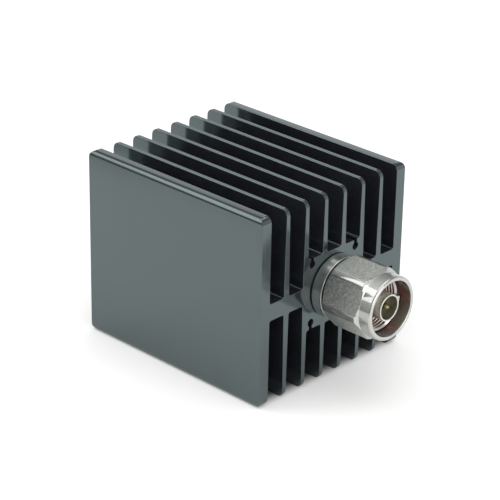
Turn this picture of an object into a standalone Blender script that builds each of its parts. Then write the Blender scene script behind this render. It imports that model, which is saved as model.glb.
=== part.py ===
"""Coaxial power attenuator: a finned heatsink extrusion with a plug at one end and a jack at the other.

Lengths are in metres. +X runs along the coaxial axis towards the plug and +Z is up. The origin lies
on the plane the part stands on, under the middle of its whole length. Stations along a connector are
counted outwards from the heatsink's end face, and heights inside the bore from the coaxial axis.
"""

import math

import bmesh
import bpy
from mathutils import Matrix

MM = 0.001

# Fits
SEAT_GAP = 0.3 * MM
NUT_PLAY = 0.3 * MM
THREAD_CLEARANCE = 0.16 * MM
SLEEVE_CLEARANCE = 0.14 * MM
PIN_CLEARANCE = 0.06 * MM

# Heatsink extrusion
SINK_LENGTH = 70.0 * MM
SINK_WIDTH = 60.0 * MM
SINK_HEIGHT = 58.5 * MM
PLATE_THICKNESS = 3.65 * MM
PLATE_EDGE_RADIUS = 1.5 * MM
END_CORNER_RADIUS = 2.2 * MM
FIN_COUNT = 6
FINS_TO_BLOCK_EDGE = 1.5
FIN_TIP_THICKNESS = 1.3 * MM
FIN_ROOT_THICKNESS = 2.1 * MM
FIN_TIP_RADIUS = 0.25 * MM
ROOT_FILLET = 0.6 * MM
WEB_THICKNESS = 5.3 * MM
BORE_RADIUS = 7.6 * MM
BLOCK_WALL = 3.55 * MM

# Screw ports in the heatsink's block
PORT_RADIUS = 1.2 * MM
PORT_SLOT_WIDTH = 1.2 * MM
PORT_DEPTH = 2.02 * MM
PORT_LIP = 0.96 * MM
PORT_LIP_RISE = 0.2 * MM

# Coaxial interface, shared by the plug and the jack
THREAD_RADIUS = 7.9375 * MM
THREAD_PITCH = 1.0583 * MM
THREAD_HEIGHT_RATIO = 0.5413
LINE_RADIUS = 3.5 * MM
SLEEVE_WALL = 0.55 * MM
CONDUCTOR_RADIUS = 1.52 * MM
PIN_RADIUS = 0.8 * MM
PIN_NOSE_RADIUS = 0.35 * MM
TAIL_RADIUS = 0.6 * MM
TAIL_LENGTH = 1.8 * MM

# Body ends that both connectors have
SPIGOT_LENGTH = 9.3 * MM
COLLAR_LEDGE = 1.95 * MM
COLLAR_LENGTH = 3.6 * MM
COLLAR_CHAMFER = 0.3 * MM
BODY_BORE_STEP = 0.3 * MM

# Coupling nut
NUT_LENGTH = 17.6 * MM
NUT_REAR_GAP = 0.5 * MM
NUT_REAR_WALL = 3.0 * MM
NUT_SHOULDER = 0.765 * MM
NUT_WALL = 1.5 * MM
NUT_FLAT_STEP = 0.05 * MM
NUT_CORNER_TURN = 0.52 * MM
NUT_REAR_STEP = 0.3 * MM
NUT_REAR_CHAMFER = 1.0 * MM
NUT_CONE_LENGTH = 0.75 * MM
NUT_ROUND_LENGTH = 4.0 * MM
NUT_LIP_WIDTH = 1.1 * MM
NUT_LIP_CHAMFER = 0.7 * MM
NUT_TURN = 9.0

# Plug body, sleeve, gasket and snap ring
RING_THICKNESS = 0.6 * MM
RING_DEPTH = 1.06 * MM
RING_SPLIT = 1.6 * MM
BODY_NOSE = 1.9 * MM
BODY_NOSE_WALL = 1.0 * MM
SLEEVE_SEAT_DEPTH = 2.5 * MM
SLEEVE_FLANGE_LENGTH = 2.0 * MM
SLEEVE_RECESS = 0.9 * MM
SLEEVE_CHAMFER = 0.2 * MM
GASKET_THICKNESS = 1.2 * MM
GASKET_OVERHANG = 0.6 * MM
PLUG_LINE_DEPTH = 9.0 * MM
PIN_SHOULDER_DEPTH = 5.3 * MM
PIN_TIP_DEPTH = 0.4 * MM
PIN_TAPER = 0.9 * MM

# Jack body and socket
JACK_NECK_LENGTH = 1.9 * MM
JACK_NECK_STEP = 0.94 * MM
JACK_BARREL_LENGTH = 10.7 * MM
JACK_BARREL_CHAMFER = 0.6 * MM
JACK_MOUTH_CHAMFER = 0.35 * MM
JACK_BORE_DEPTH = 9.1 * MM
JACK_LAND = 2.0 * MM
SOCKET_RISE = 4.8 * MM
SOCKET_BORE_DEPTH = 5.5 * MM
SOCKET_SLOT_WIDTH = 0.4 * MM
SOCKET_SLOT_DEPTH = 4.5 * MM
SOCKET_CHAMFER = 0.2 * MM

# Carrier in the bore, with the attenuating substrate
CARRIER_SPLIT = 0.3 * MM
CARRIER_CHANNEL_HEIGHT = 3.6 * MM
CARRIER_CHANNEL_WALL = 0.45 * MM
TAB_CHANNEL_WIDTH = 3.2 * MM
SUBSTRATE_LENGTH = 26.0 * MM
SUBSTRATE_THICKNESS = 1.0 * MM
SUBSTRATE_WALL = 0.6 * MM
TAB_WIDTH = 1.5 * MM
TAB_THICKNESS = 0.3 * MM
TAB_LAP = 2.0 * MM
SCREW_SHANK_RADIUS = 0.8 * MM
SCREW_HEAD_RADIUS = 1.45 * MM
SCREW_HEAD_HEIGHT = 1.0 * MM
SCREW_SLOT = 0.4 * MM
SCREW_EDGE = 2.3 * MM
SCREW_END = 7.4 * MM
SCREW_HEAD_COVER = 0.12 * MM
SCREW_HOLE_FLOOR = 0.8 * MM

# Facets
ROUND_SEGMENTS = 48
SMALL_SEGMENTS = 24
CORNER_STEPS = 5
FILLET_STEPS = 3
TIP_STEPS = 2
PORT_STEPS = 10
HEX_SIDES = 6
SHARP_ANGLE = 30.0
WELD_DISTANCE = 0.002 * MM
OVERRUN = 1.0 * MM

# Heatsink places that follow from the sizes above
AXIS_HEIGHT = SINK_HEIGHT / 2
SINK_INNER_WIDTH = SINK_WIDTH - 2 * PLATE_THICKNESS
FIN_GAP = (SINK_INNER_WIDTH - FIN_COUNT * FIN_ROOT_THICKNESS) / (FIN_COUNT + 1)
FIN_PITCH = FIN_GAP + FIN_ROOT_THICKNESS
BLOCK_HALF_HEIGHT = BORE_RADIUS + BLOCK_WALL
BLOCK_FIN = FINS_TO_BLOCK_EDGE * FIN_PITCH
PORT_SIDE = BLOCK_FIN - FIN_ROOT_THICKNESS / 2 - PORT_LIP - PORT_SLOT_WIDTH / 2
PORT_UP = BLOCK_HALF_HEIGHT - PORT_DEPTH

# Connector radii that follow from the sizes above
THREAD_BORE_RADIUS = THREAD_RADIUS - THREAD_HEIGHT_RATIO * THREAD_PITCH
NUT_MOUTH_RADIUS = THREAD_RADIUS + THREAD_CLEARANCE
NUT_ROUND_RADIUS = NUT_MOUTH_RADIUS + NUT_WALL
NUT_FLAT_RADIUS = NUT_ROUND_RADIUS + NUT_FLAT_STEP
NUT_CORNER_RADIUS = NUT_FLAT_RADIUS / math.cos(math.pi / HEX_SIDES) - NUT_CORNER_TURN
NUT_REAR_BORE_RADIUS = THREAD_BORE_RADIUS - NUT_SHOULDER
NECK_RADIUS = NUT_REAR_BORE_RADIUS - NUT_PLAY
RING_OUTER_RADIUS = THREAD_BORE_RADIUS - SEAT_GAP
RING_INNER_RADIUS = RING_OUTER_RADIUS - RING_DEPTH
SLEEVE_RADIUS = LINE_RADIUS + SLEEVE_WALL
SLEEVE_SEAT_RADIUS = NECK_RADIUS - BODY_NOSE_WALL
COLLAR_RADIUS = BORE_RADIUS + COLLAR_LEDGE
SPIGOT_RADIUS = BORE_RADIUS - SEAT_GAP
JACK_BORE_RADIUS = SLEEVE_RADIUS + SLEEVE_CLEARANCE
INSULATOR_NOSE_RADIUS = LINE_RADIUS - SEAT_GAP

# Stations that follow from the sizes above
SPIGOT_END = SEAT_GAP - SPIGOT_LENGTH
COLLAR_FRONT = SEAT_GAP + COLLAR_LENGTH
NUT_REAR = COLLAR_FRONT + NUT_REAR_GAP
NUT_FRONT = NUT_REAR + NUT_LENGTH
NUT_SHOULDER_STATION = NUT_REAR + NUT_REAR_WALL
RING_REAR = NUT_SHOULDER_STATION + SEAT_GAP
GROOVE_FRONT = RING_REAR + RING_THICKNESS + SEAT_GAP
BODY_FRONT = GROOVE_FRONT + BODY_NOSE
SLEEVE_SEAT = BODY_FRONT - SLEEVE_SEAT_DEPTH
SLEEVE_RIM = NUT_FRONT - SLEEVE_RECESS
JACK_RIM = COLLAR_FRONT + JACK_NECK_LENGTH + JACK_BARREL_LENGTH
JACK_PLANE = JACK_RIM - JACK_BORE_DEPTH
INSULATOR_REAR = SPIGOT_END + SEAT_GAP
TAIL_END = INSULATOR_REAR - TAIL_LENGTH
SINK_MIDDLE = (JACK_RIM - NUT_FRONT) / 2

# Carrier places that follow from the sizes above
CARRIER_RADIUS = BORE_RADIUS - SEAT_GAP
CARRIER_LENGTH = SINK_LENGTH + 2 * (SPIGOT_END - SEAT_GAP)
SCREW_ROW = CARRIER_RADIUS - SCREW_EDGE
SCREW_STATION = CARRIER_LENGTH / 2 - SCREW_END
SCREW_HOLE_RADIUS = SCREW_SHANK_RADIUS + SEAT_GAP
SCREW_HEAD_HOLE_RADIUS = SCREW_HEAD_RADIUS + SEAT_GAP
SUBSTRATE_TOP = -SEAT_GAP
SUBSTRATE_WIDTH = 2 * (SCREW_ROW - SCREW_HOLE_RADIUS - SUBSTRATE_WALL - SEAT_GAP)
POCKET_FLOOR = SUBSTRATE_TOP - SUBSTRATE_THICKNESS - SEAT_GAP
CAP_CHANNEL_HALF = SCREW_ROW - SCREW_HEAD_HOLE_RADIUS - CARRIER_CHANNEL_WALL


def chord_height(radius, side):
    """The height of a circle of this radius above its middle, this far to the side."""
    return math.sqrt(radius * radius - side * side)


SCREW_HEAD_TOP = chord_height(CARRIER_RADIUS, SCREW_ROW + SCREW_HEAD_RADIUS) - SCREW_HEAD_COVER
SCREW_SEAT = SCREW_HEAD_TOP - SCREW_HEAD_HEIGHT
SCREW_HOLE_END = SCREW_HOLE_FLOOR - chord_height(CARRIER_RADIUS, SCREW_ROW + SCREW_HOLE_RADIUS)

# Turns from a piece's own axes to the part's
ALONG_X = (math.pi / 2, 0.0, math.pi / 2)
ALONG_Y = (math.pi / 2, 0.0, 0.0)
TO_PLUG = (0.0, math.pi / 2, 0.0)
TO_JACK = (0.0, -math.pi / 2, 0.0)
UPRIGHT = (0.0, 0.0, 0.0)


def start_scene():
    """Empties the scene, then gives it a collection for the pieces and one for the cutters."""
    for obj in list(bpy.data.objects):
        bpy.data.objects.remove(obj)
    groups = []
    for name in ("coaxial_attenuator", "cutters"):
        group = bpy.data.collections.new(name)
        bpy.context.scene.collection.children.link(group)
        groups.append(group)
    return groups


PIECES, CUTTERS = start_scene()


def finish(name, rgb, roughness, metallic):
    """A plain Principled material, with its colour in linear values."""
    made = bpy.data.materials.new(name)
    made.use_nodes = True
    shader = made.node_tree.nodes["Principled BSDF"]
    shader.inputs["Base Color"].default_value = (*rgb, 1.0)
    shader.inputs["Roughness"].default_value = roughness
    shader.inputs["Metallic"].default_value = metallic
    return made


ANODISED = finish("black_anodised_aluminium", (0.022, 0.024, 0.026), 0.22, 0.0)
ALUMINIUM = finish("milled_aluminium", (0.74, 0.75, 0.76), 0.35, 1.0)
ALLOY_PLATE = finish("white_bronze_plated_brass", (0.62, 0.61, 0.57), 0.18, 1.0)
GOLD = finish("gold_plated_copper", (0.82, 0.58, 0.25), 0.2, 1.0)
STEEL = finish("stainless_steel", (0.55, 0.55, 0.54), 0.3, 1.0)
PTFE = finish("white_ptfe", (0.86, 0.85, 0.82), 0.45, 0.0)
SILICONE = finish("red_silicone", (0.42, 0.06, 0.03), 0.5, 0.0)
CERAMIC = finish("white_ceramic", (0.8, 0.79, 0.75), 0.4, 0.0)


def link(name, mesh, group, location, rotation=UPRIGHT):
    """Puts a mesh or a curve in a collection, at its place and turn."""
    obj = bpy.data.objects.new(name, mesh)
    obj.location = location
    obj.rotation_euler = rotation
    group.objects.link(obj)
    return obj


def on_axis(from_sink_middle, height=0.0):
    """A point over the part's middle line, at a height from the coaxial axis."""
    return (SINK_MIDDLE + from_sink_middle, 0.0, AXIS_HEIGHT + height)


PLUG_END = on_axis(SINK_LENGTH / 2)
JACK_END = on_axis(-SINK_LENGTH / 2)


def as_mesh(source):
    """Replaces a curve, or a mesh with modifiers, by the welded mesh it evaluates to."""
    bpy.context.view_layer.update()
    graph = bpy.context.evaluated_depsgraph_get()
    mesh = bpy.data.meshes.new_from_object(source.evaluated_get(graph))
    welded = bmesh.new()
    welded.from_mesh(mesh)
    bmesh.ops.remove_doubles(welded, verts=welded.verts, dist=WELD_DISTANCE)
    bmesh.ops.recalc_face_normals(welded, faces=welded.faces)
    welded.to_mesh(mesh)
    welded.free()
    mesh.shade_smooth()
    mesh.set_sharp_from_angle(angle=math.radians(SHARP_ANGLE))
    name = source.name
    made = bpy.data.objects.new(name, mesh)
    source.users_collection[0].objects.link(made)
    made.matrix_world = source.matrix_world
    bpy.data.objects.remove(source)
    made.name = name
    return made


def turned(name, profile, location, rotation, material, segments=ROUND_SEGMENTS):
    """Turns a profile of (radius, station) points about the piece's own Z axis.

    The points run down the outer side. A profile that starts and ends on the axis stays open, and any
    other is closed along its bore.
    """
    count = len(profile)
    solid_core = profile[0][0] == 0.0
    edges = [(i, i + 1) for i in range(count - 1)]
    if not solid_core:
        edges.append((count - 1, 0))
    mesh = bpy.data.meshes.new(name)
    mesh.from_pydata([(radius, 0.0, station) for radius, station in profile], edges, [])
    mesh.materials.append(material)
    obj = link(name, mesh, PIECES, location, rotation)
    screw = obj.modifiers.new("turn", "SCREW")
    screw.axis = "Z"
    screw.angle = 2 * math.pi
    screw.steps = segments
    screw.render_steps = segments
    screw.use_merge_vertices = True
    screw.merge_threshold = WELD_DISTANCE
    return as_mesh(obj)


def extruded(name, points, length, location, rotation, group=PIECES, material=None):
    """Extrudes a closed outline along the piece's own Z axis, half its length each way."""
    curve = bpy.data.curves.new(name, "CURVE")
    curve.dimensions = "2D"
    curve.fill_mode = "BOTH"
    curve.extrude = length / 2
    spline = curve.splines.new("POLY")
    spline.points.add(len(points) - 1)
    for point, (across, up) in zip(spline.points, points):
        point.co = (across, up, 0.0, 1.0)
    spline.use_cyclic_u = True
    if material:
        curve.materials.append(material)
    return as_mesh(link(name, curve, group, location, rotation))


def as_cutter(obj):
    obj.hide_render = True
    obj.display_type = "WIRE"
    return obj


def cut(target, cutter, operation="DIFFERENCE"):
    change = target.modifiers.new(cutter.name, "BOOLEAN")
    change.operation = operation
    change.solver = "EXACT"
    change.object = cutter


def rod_cutter(name, radius, low, high, location, rotation=UPRIGHT, sides=ROUND_SEGMENTS, turn=0.0):
    """A cylinder, or with few sides a bar, from low to high along its own Z axis."""
    mesh = bpy.data.meshes.new(name)
    shape = bmesh.new()
    bmesh.ops.create_cone(
        shape,
        cap_ends=True,
        segments=sides,
        radius1=radius,
        radius2=radius,
        depth=high - low,
        matrix=Matrix.Translation((0.0, 0.0, (low + high) / 2)) @ Matrix.Rotation(turn, 4, "Z"),
    )
    shape.to_mesh(mesh)
    shape.free()
    return as_cutter(link(name, mesh, CUTTERS, location, rotation))


def block(name, size, location, group, rotation=UPRIGHT, material=None):
    """A plain box of this size, centred on its location."""
    mesh = bpy.data.meshes.new(name)
    shape = bmesh.new()
    bmesh.ops.create_cube(shape, size=1.0, matrix=Matrix.Diagonal((*size, 1.0)))
    shape.to_mesh(mesh)
    shape.free()
    if material:
        mesh.materials.append(material)
    return link(name, mesh, group, location, rotation)


def arc(centre, radius, start, end, steps):
    """Points along an arc, both ends included, with angles in radians."""
    angles = [start + (end - start) * i / steps for i in range(steps + 1)]
    return [(centre[0] + radius * math.cos(a), centre[1] + radius * math.sin(a)) for a in angles]


def softened(corners):
    """An outline of (across, up, radius, steps) corners, with each radius above zero made an arc."""
    points = []
    for i, (across, up, radius, steps) in enumerate(corners):
        if radius == 0.0:
            points.append((across, up))
            continue
        before = corners[i - 1]
        after = corners[(i + 1) % len(corners)]
        arrive = math.atan2(up - before[1], across - before[0])
        leave = math.atan2(after[1] - up, after[0] - across)
        bend = math.remainder(leave - arrive, 2 * math.pi)
        side = math.copysign(math.pi / 2, bend)
        back = radius * math.tan(abs(bend) / 2)
        touch = (across - back * math.cos(arrive), up - back * math.sin(arrive))
        centre = (touch[0] + radius * math.cos(arrive + side), touch[1] + radius * math.sin(arrive + side))
        points += arc(centre, radius, arrive - side, arrive - side + bend, steps)
    return points


def fin_corners(middle, near_foot, far_foot):
    """One tapered fin of the upper right quarter, walked away from the middle line."""
    top = SINK_HEIGHT / 2
    taper = (FIN_ROOT_THICKNESS - FIN_TIP_THICKNESS) / (top - WEB_THICKNESS / 2)
    near = (FIN_TIP_THICKNESS + taper * (top - near_foot)) / 2
    far = (FIN_TIP_THICKNESS + taper * (top - far_foot)) / 2
    tip = FIN_TIP_THICKNESS / 2
    return [
        (middle - near, near_foot, ROOT_FILLET, FILLET_STEPS),
        (middle - tip, top, FIN_TIP_RADIUS, TIP_STEPS),
        (middle + tip, top, FIN_TIP_RADIUS, TIP_STEPS),
        (middle + far, far_foot, ROOT_FILLET, FILLET_STEPS),
    ]


def port_corners():
    """The keyhole of one screw port, from the block's top down round the hole and up to the lip."""
    half = PORT_SLOT_WIDTH / 2
    neck = math.acos(half / PORT_RADIUS)
    hole = arc((PORT_SIDE, PORT_UP), PORT_RADIUS, math.pi - neck, 2 * math.pi + neck, PORT_STEPS)
    near_edge = (PORT_SIDE - half, BLOCK_HALF_HEIGHT)
    lip_edge = (PORT_SIDE + half, BLOCK_HALF_HEIGHT + PORT_LIP_RISE)
    return [(across, up, 0.0, 0) for across, up in (near_edge, *hole, lip_edge)]


def sink_outline():
    """The extrusion's section: one quarter, then its mirror images round the coaxial axis."""
    web = WEB_THICKNESS / 2
    plate = SINK_WIDTH / 2 - PLATE_THICKNESS
    quarter = fin_corners(FIN_PITCH / 2, BLOCK_HALF_HEIGHT, BLOCK_HALF_HEIGHT)
    quarter += port_corners()
    quarter += fin_corners(BLOCK_FIN, BLOCK_HALF_HEIGHT + PORT_LIP_RISE, web)
    for i in range(2, FIN_COUNT // 2):
        quarter += fin_corners((i + 0.5) * FIN_PITCH, web, web)
    quarter += [
        (plate, web, ROOT_FILLET, FILLET_STEPS),
        (plate, SINK_HEIGHT / 2, FIN_TIP_RADIUS, TIP_STEPS),
        (SINK_WIDTH / 2, SINK_HEIGHT / 2, PLATE_EDGE_RADIUS, CORNER_STEPS),
    ]
    lower = [(y, -z, radius, steps) for y, z, radius, steps in reversed(quarter)]
    right = quarter + lower
    left = [(-y, z, radius, steps) for y, z, radius, steps in reversed(right)]
    return softened(right + left)


def make_heatsink():
    """One extrusion along X, with its sawn ends' corners rounded off and bored for the connectors."""
    middle = on_axis(0.0)
    sink = extruded("heatsink_body", sink_outline(), SINK_LENGTH, middle, ALONG_X, material=ANODISED)
    side, top = SINK_LENGTH / 2, SINK_HEIGHT / 2
    around = [(side, top), (side, -top), (-side, -top), (-side, top)]
    rim = softened([(x, z, END_CORNER_RADIUS, CORNER_STEPS) for x, z in around])
    width = SINK_WIDTH + 2 * OVERRUN
    side_view = extruded("sink_side_view", rim, width, middle, ALONG_Y, CUTTERS)
    cut(sink, as_cutter(side_view), "INTERSECT")
    reach = SINK_LENGTH / 2 + OVERRUN
    cut(sink, rod_cutter("sink_bore", BORE_RADIUS, -reach, reach, middle, TO_PLUG))


def body_end(inner_radius):
    """The spigot and the collar of a connector body, walked down its outer side to its rear bore."""
    return [
        (COLLAR_RADIUS - COLLAR_CHAMFER, COLLAR_FRONT),
        (COLLAR_RADIUS, COLLAR_FRONT - COLLAR_CHAMFER),
        (COLLAR_RADIUS, SEAT_GAP),
        (SPIGOT_RADIUS, SEAT_GAP),
        (SPIGOT_RADIUS, SPIGOT_END),
        (inner_radius, SPIGOT_END),
    ]


def make_plug_body():
    """Spigot, collar, neck with the snap ring's groove, and the nose that the sleeve seats in."""
    groove = RING_INNER_RADIUS - SEAT_GAP
    bore = LINE_RADIUS + BODY_BORE_STEP
    profile = [
        (SLEEVE_SEAT_RADIUS, BODY_FRONT),
        (NECK_RADIUS, BODY_FRONT),
        (NECK_RADIUS, GROOVE_FRONT),
        (groove, GROOVE_FRONT),
        (groove, NUT_SHOULDER_STATION),
        (NECK_RADIUS, NUT_SHOULDER_STATION),
        (NECK_RADIUS, COLLAR_FRONT),
        *body_end(bore),
        (bore, SLEEVE_SEAT),
        (SLEEVE_SEAT_RADIUS, SLEEVE_SEAT),
    ]
    turned("male_body", profile, PLUG_END, TO_PLUG, ALLOY_PLATE)


def make_sleeve():
    """The plug's outer contact: a thin tube with a foot flange in the body's nose."""
    foot = SLEEVE_SEAT + SEAT_GAP
    flange = SLEEVE_SEAT_RADIUS - SEAT_GAP
    profile = [
        (LINE_RADIUS, SLEEVE_RIM),
        (SLEEVE_RADIUS - SLEEVE_CHAMFER, SLEEVE_RIM),
        (SLEEVE_RADIUS, SLEEVE_RIM - SLEEVE_CHAMFER),
        (SLEEVE_RADIUS, foot + SLEEVE_FLANGE_LENGTH),
        (flange, foot + SLEEVE_FLANGE_LENGTH),
        (flange, foot),
        (LINE_RADIUS, foot),
    ]
    turned("male_outer_contact", profile, PLUG_END, TO_PLUG, ALLOY_PLATE)


def make_insulator(name, front, step, body_bore, location, rotation):
    """A turned PTFE bush: a nose in the line bore, a wider rear in the body, bored for the conductor."""
    hole = CONDUCTOR_RADIUS + SEAT_GAP
    profile = [
        (hole, front),
        (INSULATOR_NOSE_RADIUS, front),
        (INSULATOR_NOSE_RADIUS, step),
        (body_bore - SEAT_GAP, step),
        (body_bore - SEAT_GAP, INSULATOR_REAR),
        (hole, INSULATOR_REAR),
    ]
    turned(name, profile, location, rotation, PTFE, SMALL_SEGMENTS)


def make_pin():
    """The plug's centre contact: tapered nose, pin, shoulder, shank and a thin rear tail."""
    tip = SLEEVE_RIM - PIN_TIP_DEPTH
    shoulder = SLEEVE_RIM - PIN_SHOULDER_DEPTH
    profile = [
        (0.0, tip),
        (PIN_NOSE_RADIUS, tip),
        (PIN_RADIUS, tip - PIN_TAPER),
        (PIN_RADIUS, shoulder),
        (CONDUCTOR_RADIUS, shoulder),
        (CONDUCTOR_RADIUS, INSULATOR_REAR),
        (TAIL_RADIUS, INSULATOR_REAR),
        (TAIL_RADIUS, TAIL_END),
        (0.0, TAIL_END),
    ]
    turned("male_centre_pin", profile, PLUG_END, TO_PLUG, GOLD, SMALL_SEGMENTS)


def make_gasket():
    rear = BODY_FRONT + SEAT_GAP
    inner = SLEEVE_RADIUS + SEAT_GAP
    outer = NECK_RADIUS + GASKET_OVERHANG
    profile = [
        (inner, rear + GASKET_THICKNESS),
        (outer, rear + GASKET_THICKNESS),
        (outer, rear),
        (inner, rear),
    ]
    turned("male_gasket", profile, PLUG_END, TO_PLUG, SILICONE)


def make_snap_ring():
    """The split ring that the nut's shoulder pulls on."""
    front = RING_REAR + RING_THICKNESS
    profile = [
        (RING_INNER_RADIUS, front),
        (RING_OUTER_RADIUS, front),
        (RING_OUTER_RADIUS, RING_REAR),
        (RING_INNER_RADIUS, RING_REAR),
    ]
    ring = turned("nut_retaining_ring", profile, PLUG_END, TO_PLUG, STEEL)
    size = (RING_THICKNESS + 2 * OVERRUN, RING_SPLIT, 2 * RING_DEPTH + OVERRUN)
    middle = on_axis(SINK_LENGTH / 2 + RING_REAR + RING_THICKNESS / 2, RING_OUTER_RADIUS)
    cut(ring, as_cutter(block("ring_split", size, middle, CUTTERS)))


def make_nut():
    """The coupling nut: turned all over, then its rear cut to a hexagon with turned-down corners."""
    round_rear = NUT_FRONT - NUT_ROUND_LENGTH
    lip = NUT_MOUTH_RADIUS + NUT_LIP_WIDTH
    profile = [
        (NUT_MOUTH_RADIUS, NUT_FRONT),
        (lip, NUT_FRONT),
        (NUT_ROUND_RADIUS, NUT_FRONT - NUT_LIP_CHAMFER),
        (NUT_ROUND_RADIUS, round_rear),
        (NUT_CORNER_RADIUS, round_rear - NUT_CONE_LENGTH),
        (NUT_CORNER_RADIUS, NUT_REAR + NUT_REAR_CHAMFER),
        (NUT_ROUND_RADIUS - NUT_REAR_STEP, NUT_REAR),
        (NUT_REAR_BORE_RADIUS, NUT_REAR),
        (NUT_REAR_BORE_RADIUS, NUT_SHOULDER_STATION),
        (THREAD_BORE_RADIUS, NUT_SHOULDER_STATION),
        (THREAD_BORE_RADIUS, round_rear),
        (NUT_MOUTH_RADIUS, round_rear),
    ]
    nut = turned("coupling_nut", profile, PLUG_END, TO_PLUG, ALLOY_PLATE)
    corner = NUT_FLAT_RADIUS / math.cos(math.pi / HEX_SIDES)
    low, high = NUT_REAR - OVERRUN, NUT_FRONT + OVERRUN
    turn = math.radians(NUT_TURN)
    hexagon = rod_cutter("nut_hexagon", corner, low, high, PLUG_END, TO_PLUG, HEX_SIDES, turn)
    cut(nut, hexagon, "INTERSECT")


def make_jack_body():
    """Spigot, collar, neck and threaded barrel, with the mouth that a plug's sleeve enters."""
    neck = THREAD_RADIUS - JACK_NECK_STEP
    barrel_rear = JACK_RIM - JACK_BARREL_LENGTH
    bore = LINE_RADIUS + 2 * BODY_BORE_STEP
    profile = [
        (JACK_BORE_RADIUS + JACK_MOUTH_CHAMFER, JACK_RIM),
        (THREAD_RADIUS - JACK_BARREL_CHAMFER, JACK_RIM),
        (THREAD_RADIUS, JACK_RIM - JACK_BARREL_CHAMFER),
        (THREAD_RADIUS, barrel_rear + JACK_BARREL_CHAMFER),
        (neck, barrel_rear),
        (neck, COLLAR_FRONT),
        *body_end(bore),
        (bore, JACK_PLANE - JACK_LAND),
        (LINE_RADIUS, JACK_PLANE - JACK_LAND),
        (LINE_RADIUS, JACK_PLANE),
        (JACK_BORE_RADIUS, JACK_PLANE),
        (JACK_BORE_RADIUS, JACK_RIM - JACK_MOUTH_CHAMFER),
    ]
    turned("female_body", profile, JACK_END, TO_JACK, ALLOY_PLATE)


def make_socket():
    """The jack's centre contact, bored for a pin and slotted into four springing fingers."""
    tip = JACK_PLANE + SOCKET_RISE
    bore = PIN_RADIUS + PIN_CLEARANCE
    profile = [
        (0.0, tip - SOCKET_BORE_DEPTH),
        (bore, tip - SOCKET_BORE_DEPTH),
        (bore, tip),
        (CONDUCTOR_RADIUS - SOCKET_CHAMFER, tip),
        (CONDUCTOR_RADIUS, tip - SOCKET_CHAMFER),
        (CONDUCTOR_RADIUS, INSULATOR_REAR),
        (TAIL_RADIUS, INSULATOR_REAR),
        (TAIL_RADIUS, TAIL_END),
        (0.0, TAIL_END),
    ]
    socket = turned("female_centre_socket", profile, JACK_END, TO_JACK, GOLD, SMALL_SEGMENTS)
    x, y, z = JACK_END
    middle = (x - tip + (SOCKET_SLOT_DEPTH - OVERRUN) / 2, y, z)
    width = 2 * (CONDUCTOR_RADIUS + OVERRUN)
    for side, turn in (("flat", 0.0), ("upright", math.pi / 2)):
        size = (SOCKET_SLOT_DEPTH + OVERRUN, width, SOCKET_SLOT_WIDTH)
        cut(socket, as_cutter(block("socket_slot_" + side, size, middle, CUTTERS, (turn, 0.0, 0.0))))


def half_disc(flat, channel_half, channel_end, facing):
    """A half disc's section with a channel in its flat side, for the carrier's base or its cap."""
    edge = chord_height(CARRIER_RADIUS, flat)
    rise = math.asin(flat / CARRIER_RADIUS)
    rim = arc((0.0, 0.0), CARRIER_RADIUS, rise, math.pi - rise, ROUND_SEGMENTS // 2)
    walk = rim[:-1] + [
        (-edge, flat),
        (-channel_half, flat),
        (-channel_half, channel_end),
        (channel_half, channel_end),
        (channel_half, flat),
    ]
    return [(across, facing * up) for across, up in walk]


def screw_places():
    """The four carrier screws' places along the carrier and across it."""
    return [(along * SCREW_STATION, across * SCREW_ROW) for along in (1, -1) for across in (-1, 1)]


def make_carrier_base():
    """The lower half: a bed for the substrate, a channel for its tabs and blind holes for the screws."""
    flat = CARRIER_SPLIT / 2
    section = half_disc(flat, TAB_CHANNEL_WIDTH / 2, -POCKET_FLOOR, -1)
    base = extruded("carrier_base", section, CARRIER_LENGTH, on_axis(0.0), ALONG_X, material=ALUMINIUM)
    pocket_size = (SUBSTRATE_LENGTH + 2 * SEAT_GAP, SUBSTRATE_WIDTH + 2 * SEAT_GAP, -POCKET_FLOOR * 2)
    cut(base, as_cutter(block("substrate_pocket", pocket_size, on_axis(0.0), CUTTERS)))
    for i, (along, across) in enumerate(screw_places(), 1):
        x, y, z = on_axis(along)
        spot = (x, y + across, z)
        name = f"base_hole_{i}"
        low, high = SCREW_HOLE_END, OVERRUN
        cut(base, rod_cutter(name, SCREW_HOLE_RADIUS, low, high, spot, sides=SMALL_SEGMENTS))


def make_carrier_cap():
    """The upper half: an air channel over the substrate, with sunk seats for the screw heads."""
    section = half_disc(CARRIER_SPLIT / 2, CAP_CHANNEL_HALF, CARRIER_CHANNEL_HEIGHT, 1)
    cap = extruded("carrier_cap", section, CARRIER_LENGTH, on_axis(0.0), ALONG_X, material=ALUMINIUM)
    for i, (along, across) in enumerate(screw_places(), 1):
        x, y, z = on_axis(along)
        spot = (x, y + across, z)
        top = CARRIER_RADIUS + OVERRUN
        for kind, radius, low in (
            ("hole", SCREW_HOLE_RADIUS, -OVERRUN),
            ("seat", SCREW_HEAD_HOLE_RADIUS, SCREW_SEAT - SEAT_GAP),
        ):
            cut(cap, rod_cutter(f"cap_{kind}_{i}", radius, low, top, spot, sides=SMALL_SEGMENTS))


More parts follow.
